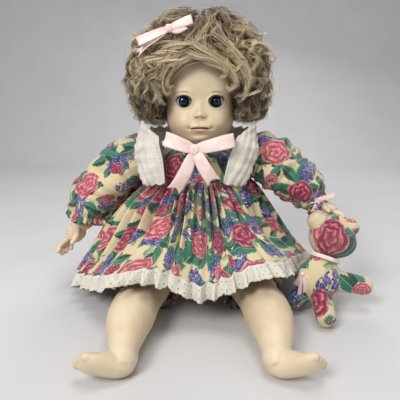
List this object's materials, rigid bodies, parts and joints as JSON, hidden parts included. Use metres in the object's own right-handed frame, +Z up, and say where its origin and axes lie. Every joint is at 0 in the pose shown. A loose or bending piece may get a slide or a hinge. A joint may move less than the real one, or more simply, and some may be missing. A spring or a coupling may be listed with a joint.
{
  "type": "interactive baby doll",
  "caption": "Seated baby doll with a turning head, blinking eyes, talking jaw, jointed limbs, a floral dress, and a small stuffed bear tied to one wrist.",
  "frame": {"origin": "middle of the flat seat, on the floor", "axes": "+Z up, the doll faces -Y, +X towards the doll's own left side"},
  "size_m": [0.4214, 0.3606, 0.38],
  "materials": {
    "face_vinyl": "satin vinyl",
    "limb_vinyl": "satin vinyl",
    "hair_fibre": "curled fibre",
    "satin": "satin ribbon",
    "floral_cotton": "printed cotton",
    "white_lace": "eyelet cotton",
    "case_plastic": "fine texture",
    "frame_plastic": "moulded",
    "acetal": "smooth",
    "dark_plastic": "moulded",
    "button_plastic": "smooth",
    "eye_white": "polished",
    "eye_iris": "polished",
    "lip_vinyl": "satin vinyl",
    "steel": "plain",
    "brass": "machined",
    "speaker_black": "pressed",
    "board_green": "solder mask",
    "cell_jacket": "printed jacket, plain"
  },
  "bodies": {
    "torso": {"torso_front": "case_plastic", "torso_back": "case_plastic", "neck_post": "acetal", "speaker": "speaker_black", "circuit_board": "board_green", "board_parts": "dark_plastic", "battery_box": "dark_plastic", "battery_cells": "cell_jacket", "battery_springs": "steel", "battery_door": "case_plastic", "case_screws": "steel", "limb_bushings": "acetal", "bodice": "floral_cotton", "skirt": "floral_cotton", "hem_ruffle": "white_lace", "collar": "white_lace", "neck_bow": "satin", "bloomer_seat": "floral_cotton"},
    "head": {"face_shell": "face_vinyl", "scalp_shell": "face_vinyl", "hair": "hair_fibre", "hair_ribbon": "satin", "head_frame": "frame_plastic", "eye_motor": "steel", "jaw_motor": "steel", "jaw_pin": "steel", "head_screws": "steel"},
    "eyes": {"eyeballs": "eye_white", "irises": "eye_iris", "eyelids": "face_vinyl", "eye_shaft": "steel", "eye_gear": "acetal"},
    "eye_drive": {"eye_pinion": "brass"},
    "jaw": {"jaw_lever": "acetal", "lower_lip": "lip_vinyl"},
    "jaw_drive": {"jaw_pinion": "brass"},
    "switch": {"power_switch": "dark_plastic"},
    "dial": {"volume_dial": "dark_plastic"},
    "button": {"belly_button": "button_plastic"},
    "right_arm": {"arm_right": "limb_vinyl", "arm_joint_right": "acetal", "sleeve_right": "floral_cotton"},
    "left_arm": {"arm_left": "limb_vinyl", "arm_joint_left": "acetal", "sleeve_left": "floral_cotton", "cuff_ribbon": "satin", "bear_head": "floral_cotton", "bear_ears": "floral_cotton", "bear_body": "floral_cotton", "bear_arms": "floral_cotton", "bear_legs": "floral_cotton", "bear_ribbons": "satin"},
    "right_leg": {"leg_right": "limb_vinyl", "leg_joint_right": "acetal", "bloomer_leg_right": "floral_cotton"},
    "left_leg": {"leg_left": "limb_vinyl", "leg_joint_left": "acetal", "bloomer_leg_left": "floral_cotton"}
  },
  "joints": [
    {"name": "neck_turn", "type": "hinge", "parent": "torso", "child": "head", "pos_m": [0, 0, 0.205], "axis": [0, 0, 1], "range_deg": [-40, 40]},
    {"name": "eyes_blink", "type": "hinge", "parent": "head", "child": "eyes", "pos_m": [0, -0.0385, 0.264], "axis": [1, 0, 0], "range_deg": [0, 65]},
    {"name": "eye_drive_turn", "type": "hinge", "parent": "head", "child": "eye_drive", "pos_m": [0, -0.02153, 0.28097], "axis": [1, 0, 0], "range_deg": [-195, 0]},
    {"name": "jaw_open", "type": "hinge", "parent": "head", "child": "jaw", "pos_m": [0, -0.018, 0.242], "axis": [1, 0, 0], "range_deg": [0, 5]},
    {"name": "jaw_drive_turn", "type": "hinge", "parent": "head", "child": "jaw_drive", "pos_m": [0, 0.004, 0.242], "axis": [1, 0, 0], "range_deg": [-14, 0]},
    {"name": "shoulder_right_swing", "type": "hinge", "parent": "torso", "child": "right_arm", "pos_m": [-0.054, 0, 0.186], "axis": [1, 0, 0], "range_deg": [-100, 20]},
    {"name": "shoulder_left_swing", "type": "hinge", "parent": "torso", "child": "left_arm", "pos_m": [0.054, 0, 0.186], "axis": [1, 0, 0], "range_deg": [-100, 0]},
    {"name": "hip_right_swing", "type": "hinge", "parent": "torso", "child": "right_leg", "pos_m": [-0.015, -0.01, 0.038], "axis": [1, 0, 0], "range_deg": [0, 85]},
    {"name": "hip_left_swing", "type": "hinge", "parent": "torso", "child": "left_leg", "pos_m": [0.015, -0.01, 0.038], "axis": [1, 0, 0], "range_deg": [0, 85]},
    {"name": "power_slide", "type": "slide", "parent": "torso", "child": "switch", "axis": [1, 0, 0], "range_m": [0, 0.004]},
    {"name": "volume_turn", "type": "hinge", "parent": "torso", "child": "dial", "pos_m": [0.015, 0.026, 0.1565], "axis": [0, 0, 1], "range_deg": [-150, 150]},
    {"name": "button_press", "type": "slide", "parent": "torso", "child": "button", "axis": [0, 1, 0], "range_m": [0, 0.0025], "stiffness_N_per_m": 300, "springref_m": -0.001}
  ],
  "couplings": [
    {"joint": "eye_drive_turn", "follows": "eyes_blink", "ratio": -3},
    {"joint": "jaw_drive_turn", "follows": "jaw_open", "ratio": -2.6667}
  ]
}
